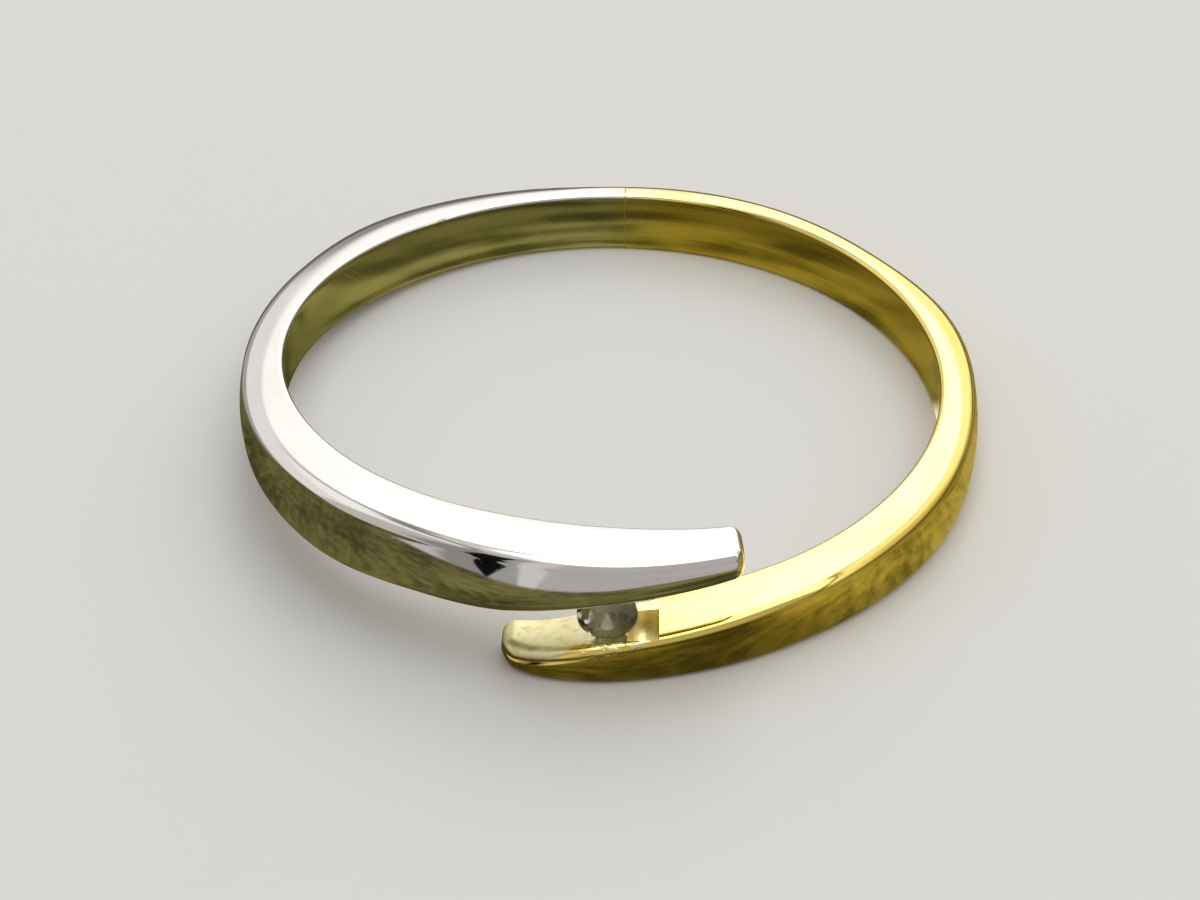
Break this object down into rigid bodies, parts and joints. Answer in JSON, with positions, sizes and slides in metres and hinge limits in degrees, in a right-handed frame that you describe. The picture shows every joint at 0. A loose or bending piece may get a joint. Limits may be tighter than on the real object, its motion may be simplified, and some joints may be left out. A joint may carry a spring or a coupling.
{
  "type": "bypass ring with a cubic zirconia",
  "caption": "Bypass ring in white and yellow metal: the white arm crosses over the yellow one, and a round brilliant cubic zirconia stands between them, facing out.",
  "frame": {"origin": "on the finger's axis, at the height of the surface the ring lies on", "axes": "+Z along the finger's axis, up as the ring lies; -Y towards the stone; +X towards the yellow half"},
  "size_m": [0.0191, 0.0201, 0.0038],
  "materials": {
    "white_metal": "polished white metal with fine wear scratches",
    "yellow_gold": "polished yellow gold with fine wear scratches",
    "stone": "clear faceted stone"
  },
  "bodies": {
    "root": {"white_half": "white_metal", "yellow_half": "yellow_gold", "stone": "stone"}
  },
  "joints": []
}
